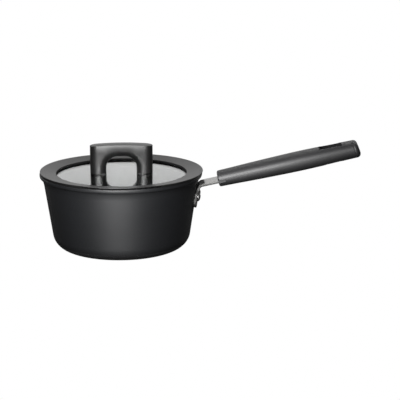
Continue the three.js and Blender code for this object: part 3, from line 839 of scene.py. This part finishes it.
cap_round, cap_seam, crown_flat = 4.2, 0.04, 0.6
spigot_end, spigot_half_width, spigot_half_height = 139.0, 6.0, 4.0
cap_form = turned([(1, share) for share in shares((0.08, 1), (1.0, 14))], 96,
                  axis=(1, 0, 0))


def cap_start(height):
    return grip_split(height) + cap_seam


def cap_stop(height):
    return grip_length - grip_slant * height


grip_skin(
    cap_form, cap_start, cap_stop,
    lambda along, height: edge_inset(max(cap_stop(height) - along, 0), cap_round)
    + edge_inset(max(along - cap_start(height), 0), 0.15))
end_rim = [e for e in cap_form.edges if e.is_boundary and
           e.verts[0].co.x > cap_start(e.verts[0].co.z) + 2.5]
crown = bmesh.ops.extrude_edge_only(cap_form, edges=end_rim)["geom"]
for vert in [v for v in crown if isinstance(v, bmesh.types.BMVert)]:
    vert.co.y *= crown_flat
    vert.co.z *= crown_flat
    vert.co.x = cap_stop(vert.co.z)
bmesh.ops.holes_fill(
    cap_form, edges=[e for e in crown if isinstance(e, bmesh.types.BMEdge)], sides=0)
spigot_rim = [e for e in cap_form.edges if e.is_boundary]
spigot = bmesh.ops.extrude_edge_only(cap_form, edges=spigot_rim)["geom"]
for vert in [v for v in spigot if isinstance(v, bmesh.types.BMVert)]:
    reach = max(abs(vert.co.y) / spigot_half_width, abs(vert.co.z) / spigot_half_height)
    vert.co = (cap_start(vert.co.z / reach), vert.co.y / reach, vert.co.z / reach)
spigot = bmesh.ops.extrude_edge_only(
    cap_form, edges=[e for e in spigot if isinstance(e, bmesh.types.BMEdge)])["geom"]
for vert in [v for v in spigot if isinstance(v, bmesh.types.BMVert)]:
    vert.co.x = spigot_end
bmesh.ops.holes_fill(
    cap_form, edges=[e for e in spigot if isinstance(e, bmesh.types.BMEdge)], sides=0)
set_on_slope(cap_form)
bmesh.ops.recalc_face_normals(cap_form, faces=cap_form.faces)
make_piece("grip_cap", cap_form, "pan", ["grip_end_cap"], [grip_black])


# Grip screw and washer: a steel screw with a hexagon socket, driven up from underneath through the
# washer and the tang, and sunk in its seat.

screw_section = [
    (0, -7.4), (1.5, -7.4), (1.5, -8.6), (3.2, -8.6), (3.6, -8.2),
    (3.6, -6.3), (2, -6.3), (2, 3.2), (1.7, 3.5), (0, 3.5),
]
screw_form = turned(screw_section, 36)
for vert in screw_form.verts:
    radius, turn = math.hypot(vert.co.x, vert.co.y), math.atan2(vert.co.y, vert.co.x)
    if 1.2 < radius < 1.65 and vert.co.z < -7:
        flat = math.cos(math.pi / 6) / math.cos((turn % (math.pi / 3)) - math.pi / 6)
        vert.co.x, vert.co.y = (math.cos(turn) * 1.6 * flat, math.sin(turn) * 1.6 * flat)
bmesh.ops.translate(screw_form, vec=(screw_place, 0, 0), verts=screw_form.verts)
set_on_slope(screw_form)
make_piece("tang_screw", screw_form, "pan", ["grip_screw"],
           [fastener_steel.material])


def ring_section(inner, outer, bottom, top, chamfer):
    """The section of a flat ring with its four edges broken."""
    return [
        (inner + chamfer, bottom), (outer - chamfer, bottom), (outer, bottom + chamfer),
        (outer, top - chamfer), (outer - chamfer, top), (inner + chamfer, top),
        (inner, top - chamfer), (inner, bottom + chamfer),
    ]


washer_form = turned(ring_section(2.3, 4.0, -6.0, -5.5, 0.1), 40, closed=True)
bmesh.ops.translate(washer_form, vec=(screw_place, 0, 0), verts=washer_form.verts)
set_on_slope(washer_form)
make_piece("tang_washer", washer_form, "pan", ["grip_washer"],
           [fastener_steel.material])


# Lid glass: a tempered pane bent to a shallow dome, with a ground edge hidden in the ring and a
# drilled hole under each foot of the handle.

lid_seat = lip_top + gap
lid_radius, ring_edge_height, ring_fall = 87.0, 2.4, 2.2
window_radius, window_depth = 69.2, 2.3
glass_radius, glass_thickness, dome_radius = 74.3, 4.0, 2500.0
leg_spacing = 49.0
ring_outer_top = lid_seat + ring_edge_height
ring_inner_top = ring_outer_top - ring_fall
glass_edge_top = ring_inner_top - window_depth
hole_radius = 3.3
lid_turn, lid_shift = math.radians(3.4), 0.6


def turn_lid(form):
    """Turns and shifts a lid piece a little on the rim of the pan, as the lid was put down."""
    turn = Matrix.Rotation(lid_turn, 3, "Z")
    bmesh.ops.rotate(form, cent=(0, 0, 0), matrix=turn, verts=form.verts)
    bmesh.ops.translate(form, vec=(lid_shift, 0, 0), verts=form.verts)


def glass_top(radius):
    return glass_edge_top + (window_radius**2 - radius**2) / (2 * dome_radius)


pane_radii = [0, 6, 12, 17, 20, *[20.7 + 0.76 * i for i in range(11)], 30, 36, 42, 48, 54, 60,
              65, 69, 72, glass_radius - 0.7]
pane_section = [(r, glass_top(r) - glass_thickness) for r in pane_radii]
pane_edge = (glass_radius - 0.7, glass_top(glass_radius) - 0.7)
pane_section += arc((pane_edge[0], pane_edge[1] - glass_thickness + 1.4), 0.7, -80, 0, 4)
pane_section += arc(pane_edge, 0.7, 0, 80, 4)
pane_section += [(r, glass_top(r)) for r in pane_radii[::-1]]
pane_form = turned(pane_section, 192)
for side in (-1, 1):
    hole_middle = side * leg_spacing / 2
    for drop in (0, glass_thickness):
        level = glass_top(leg_spacing / 2) - drop
        cut_opening(
            pane_form,
            [f for f in pane_form.faces if abs(f.calc_center_median().z - level) < 1.5],
            lambda p: (p.x - hole_middle, p.y),
            lambda a, b, p: (a + hole_middle, b,
                             glass_top(math.hypot(a + hole_middle, b)) - drop),
            (hole_radius,) * 3)
    hole_rims = [e for e in pane_form.edges if e.is_boundary]
    bmesh.ops.bridge_loops(pane_form, edges=hole_rims)
bmesh.ops.recalc_face_normals(pane_form, faces=pane_form.faces)

clear_glass = Finish(
    "Lid glass", IOR=1.52, Transmission_Weight=1.0, Base_Color=(0.93, 0.96, 0.95, 1))
waves = clear_glass.noise(18, 1.0, 0.4)
clear_glass.feed("Roughness", 0.02 + clear_glass.noise(90, 3.0, 0.6) * 0.03)
clear_glass.emboss(waves, 0.00002)
turn_lid(pane_form)
make_piece("domed_pane", pane_form, "lid", ["lid_glass"], [clear_glass.material])


# Lid ring: a black moulding gripped round the glass, painted darker and duller where it meets it as
# painted shade. A skirt locates it in the mouth of the pan, and at the front a low slit under its
# edge lets water out through strainer notches in the skirt.

skirt_radius, skirt_depth = 79.2, 11.5
slit_half_angle, notch_count = math.radians(27.6), 9
notch_step = (2 * slit_half_angle - 0.12) / (notch_count - 1)
notch_half_angle, notch_depth = 2.0 / skirt_radius, 2.0
groove_radius = glass_radius + gap
jaw_bottom = lid_seat - skirt_depth
under_glass = glass_thickness + gap
inner_wall = window_radius + 0.2
ring_steps = 720
rim_section = [
    (window_radius, glass_top(window_radius) + gap),
    *arc((window_radius + 1.0, ring_inner_top - 1.0), 1.0, 180, 97, 6),
    *run((window_radius + 1.8, ring_inner_top + 0.11),
         (lid_radius - 0.5, ring_outer_top - 0.06), 8),
    *arc((lid_radius - 0.55, ring_outer_top - 0.55), 0.55, 96, 0, 5),
    (lid_radius, ring_outer_top - 0.6),
    *arc((lid_radius - 0.7, lid_seat - 0.05), 0.2, 0, -90, 3),
    *run((lid_radius - 1.5, lid_seat - 0.25), (skirt_radius + 1.4, lid_seat), 3),
    *arc((skirt_radius + 1.2, lid_seat - 1.2), 1.2, 90, 180, 4),
    *run((skirt_radius, lid_seat - 1.9), (skirt_radius, jaw_bottom + 1.6), 3),
    *arc((skirt_radius - 1.2, jaw_bottom + 1.6), 1.2, 0, -90, 4),
    (window_radius + 1.2, jaw_bottom + 0.2), (inner_wall, jaw_bottom + 1.2),
    (inner_wall, glass_top(inner_wall) - under_glass),
    (groove_radius, glass_top(groove_radius) - under_glass),
    (groove_radius, glass_top(groove_radius) + gap),
]
rim_form = turned(rim_section, ring_steps, closed=True)
for vert in rim_form.verts:
    turn = math.atan2(vert.co.x, -vert.co.y)
    radius, height = math.hypot(vert.co.x, vert.co.y), vert.co.z
    if abs(turn) > slit_half_angle + 0.002:
        continue
    if radius > skirt_radius + 0.9 and height < ring_outer_top - 0.65:
        roof = lid_seat + 0.3 + 1.4 * (radius - skirt_radius - 0.8) / 7.0
        vert.co.z = max(height, min(roof, lid_seat + 1.7))
    nearest = round(turn / notch_step) if abs(turn) < slit_half_angle - 0.03 else 99
    if abs(turn - nearest * notch_step) < notch_half_angle and height > jaw_bottom + 0.5:
        if skirt_radius - 1.3 < radius < skirt_radius + 0.1 and height < lid_seat - 0.5:
            shrink = (radius - notch_depth) / radius
            vert.co.x *= shrink
            vert.co.y *= shrink

rim_black = moulded_black(
    "Ring moulding", (0.002, 0.002, 0.0021), (0.005, 0.0049, 0.0048), 0.38, 2200, 0.34)
# Faces of the inner wall by the glass take the darkened copy: painted shade.
for face in rim_form.faces:
    middle = face.calc_center_median()
    radius = math.hypot(middle.x, middle.y)
    face.material_index = int(radius < window_radius + 0.55 and middle.z > glass_edge_top - 1)
turn_lid(rim_form)
make_piece(
    "moulded_ring", rim_form, "lid", ["lid_rim"], [rim_black, painted_shade_black])


# Lid handle: an arch moulded in one piece. From above it is a rounded bar, its top is slightly
# crowned with a crisp edge, and the finger opening is rounded all round.

arch_length, arch_depth, arch_tip, arch_crown = 66.8, 17.0, 8.0, 1.4
arch_top, arch_opening, arch_opening_top = 112.3, 32.2, 99.2
arch_shoulder, arch_round, foot_gap = 12.0, 8.4, 1.2
tip_middle = arch_length / 2 - arch_tip
side_fall = arch_depth / 2 - arch_tip
side_radius = (tip_middle**2 + side_fall**2) / (2 * side_fall) + arch_tip


def arch_half_depth(along, inset=0.0):
    """Half the depth of the plan, at a length from its middle."""
    along = abs(along)
    tip = arch_tip - inset
    tip_start = tip_middle + tip * math.sin(math.asin(tip_middle / (side_radius - arch_tip)))
    if along < tip_start:
        return math.sqrt((side_radius - inset) ** 2 - along**2) - side_radius + arch_depth / 2
    return math.sqrt(max(tip**2 - (along - tip_middle) ** 2, 0))


half_opening, shoulder_height = arch_opening / 2, arch_opening_top - arch_shoulder
foot = 74.0
arch_outline = [
    (arch_length / 2, foot), (arch_length / 2, arch_top), (-arch_length / 2, arch_top),
    (-arch_length / 2, foot), (-half_opening, foot),
    *arc((-half_opening + arch_shoulder, shoulder_height), arch_shoulder, 180, 90, 12),
    *arc((half_opening - arch_shoulder, shoulder_height), arch_shoulder, 90, 0, 12),
    (half_opening, foot),
]
arch_form = bmesh.new()
front = [arch_form.verts.new((px, -arch_depth / 2, pz)) for px, pz in arch_outline]
arch_form.faces.new(front)
back = bmesh.ops.extrude_face_region(arch_form, geom=arch_form.faces[:])["geom"]
bmesh.ops.translate(
    arch_form, vec=(0, arch_depth, 0), verts=[v for v in back if isinstance(v, bmesh.types.BMVert)])
arch_form.normal_update()


def in_opening(place):
    return abs(place.x) < half_opening + 0.01 and place.z < arch_opening_top + 0.01


opening_rims = [
    e for e in arch_form.edges
    if all(in_opening(v.co) for v in e.verts)
    and abs(e.verts[0].co.y - e.verts[1].co.y) < 0.01
    and not all(v.co.z < foot + 0.01 for v in e.verts)
]
bmesh.ops.bevel(
    arch_form, geom=opening_rims, offset=arch_round, segments=10, profile=0.5, affect="EDGES",
    material=-1, clamp_overlap=False)
slices = [tip_middle + arch_tip * math.sin(math.radians(a)) for a in (20, 35, 48, 60, 70, 79, 86)]
slices += [1.75 * i for i in range(16)]
for place in sorted({s * side for s in slices for side in (-1, 1)}):
    bmesh.ops.bisect_plane(
        arch_form, geom=arch_form.verts[:] + arch_form.edges[:] + arch_form.faces[:],
        dist=0.001, plane_co=(place, 0, 0), plane_no=(1, 0, 0))
for height in (80.0, 84.0, 90.0, 96.0, 104.0):
    bmesh.ops.bisect_plane(
        arch_form, geom=arch_form.verts[:] + arch_form.edges[:] + arch_form.faces[:],
        dist=0.001, plane_co=(0, 0, height), plane_no=(0, 0, 1))
for vert in arch_form.verts:
    vert.co.y *= arch_half_depth(vert.co.x) / (arch_depth / 2)
    if vert.co.z > arch_top - 0.01:
        vert.co.z -= arch_crown * (vert.co.x / (arch_length / 2)) ** 2
    if vert.co.z < foot + 0.01:
        vert.co.z = glass_top(math.hypot(vert.co.x, vert.co.y)) + foot_gap
bmesh.ops.remove_doubles(arch_form, verts=arch_form.verts, dist=0.01)
bmesh.ops.dissolve_degenerate(arch_form, edges=arch_form.edges, dist=0.01)
bmesh.ops.recalc_face_normals(arch_form, faces=arch_form.faces)
arch_form.normal_update()
crisp = [
    e for e in arch_form.edges
    if all(v.co.z > arch_top - arch_crown - 0.01 for v in e.verts)
    and e.calc_face_angle(0) > 1.0]
bmesh.ops.bevel(
    arch_form, geom=crisp, offset=0.8, segments=3, profile=0.5, affect="EDGES",
    material=-1, clamp_overlap=True)
turn_lid(arch_form)
make_piece("arch_handle", arch_form, "lid", ["lid_handle"], [rim_black], crease=40)


# Feet of the lid handle: under each foot a silicone gasket on the glass, and a screw driven up from
# inside through a washer and the glass into a brass insert moulded in the leg.

gasket_half_length, screw_radius = 6.6, 2.0
washer_top = glass_top(leg_spacing / 2 + 6) - glass_thickness - gap
washer_thickness = 1.2
screw_seat = washer_top - washer_thickness - gap
screw_top, insert_top = 92.2, 93.0
head_section = [
    *swoop((0, screw_seat - 2.6), (4, screw_seat - 2.6), (4.5, screw_seat - 0.6), 8),
    (4.5, screw_seat), (screw_radius, screw_seat), (screw_radius, screw_top - 0.6),
    (screw_radius - 0.6, screw_top), (0, screw_top),
]
insert_bottom = glass_top(leg_spacing / 2) + foot_gap + 0.8

brass = Finish("Insert brass", Metallic=1.0)
lathe = brass.noise(1.0, 2.0, 0.5, stretch=(40, 40, 5000))
brass.feed("Base Color", brass.tint(lathe, (0.42, 0.29, 0.11), (0.6, 0.43, 0.18)))
brass.feed("Roughness", 0.28 + lathe * 0.14)
brass.emboss(lathe, 0.00002)

for side, label in ((-1, "left"), (1, "right")):
    middle = side * leg_spacing / 2
    pad_form = bmesh.new()
    bmesh.ops.create_grid(pad_form, x_segments=16, y_segments=12, size=1.0)
    for vert in pad_form.verts:
        along = middle + vert.co.x * gasket_half_length
        across = vert.co.y * arch_half_depth(along, 0.5)
        vert.co = (along, across, glass_top(math.hypot(along, across)) + gap)
    cut_opening(
        pad_form, pad_form.faces, lambda p: (p.x - middle, p.y),
        lambda a, b, p: (a + middle, b, glass_top(math.hypot(a + middle, b)) + gap),
        (3.7, 3.7, 3.69))
    lifted = bmesh.ops.extrude_face_region(pad_form, geom=pad_form.faces[:])["geom"]
    bmesh.ops.translate(
        pad_form, vec=(0, 0, foot_gap - 2 * gap),
        verts=[v for v in lifted if isinstance(v, bmesh.types.BMVert)])
    bmesh.ops.recalc_face_normals(pad_form, faces=pad_form.faces)
    turn_lid(pad_form)
    make_piece(f"foot_gasket_{label}", pad_form, "lid", [f"lid_gasket_{label}"],
               [silicone.material])

    screw_form = turned(head_section, 40)
    for level in (-0.6, 0.6):
        bmesh.ops.bisect_plane(
            screw_form, geom=screw_form.verts[:] + screw_form.edges[:] + screw_form.faces[:],
            dist=0.001, plane_co=(0, level, 0), plane_no=(0, 1, 0))
    slot_faces = [
        f for f in screw_form.faces
        if abs(f.calc_center_median().y) < 0.6 and f.calc_center_median().z < screw_seat - 0.7]
    sunk = bmesh.ops.extrude_face_region(screw_form, geom=slot_faces)["geom"]
    for vert in [v for v in sunk if isinstance(v, bmesh.types.BMVert)]:
        vert.co.z = max(vert.co.z, screw_seat - 1.4)
    bmesh.ops.delete(screw_form, geom=slot_faces, context="FACES")
    bmesh.ops.translate(screw_form, vec=(middle, 0, 0), verts=screw_form.verts)
    turn_lid(screw_form)
    make_piece(f"foot_screw_{label}", screw_form, "lid", [f"lid_screw_{label}"],
               [fastener_steel.material])

    washer_form = turned(
        ring_section(2.5, 6.0, washer_top - washer_thickness, washer_top, 0.15), 48, closed=True)
    bmesh.ops.translate(washer_form, vec=(middle, 0, 0), verts=washer_form.verts)
    turn_lid(washer_form)
    make_piece(f"foot_washer_{label}", washer_form, "lid", [f"lid_washer_{label}"],
               [fastener_steel.material])

    knurl_section = ring_section(2.3, 3.4, insert_bottom, insert_top, 0.25)
    knurl_form = turned(knurl_section, 72, closed=True)
    for vert in knurl_form.verts:
        turn = math.degrees(math.atan2(vert.co.y, vert.co.x))
        if math.hypot(vert.co.x, vert.co.y) > 3.0 and round(turn / 5) % 3 == 0:
            vert.co.x *= 0.94
            vert.co.y *= 0.94
    bmesh.ops.translate(knurl_form, vec=(middle, 0, 0), verts=knurl_form.verts)
    turn_lid(knurl_form)
    make_piece(f"foot_insert_{label}", knurl_form, "lid", [f"lid_insert_{label}"],
               [brass.material])
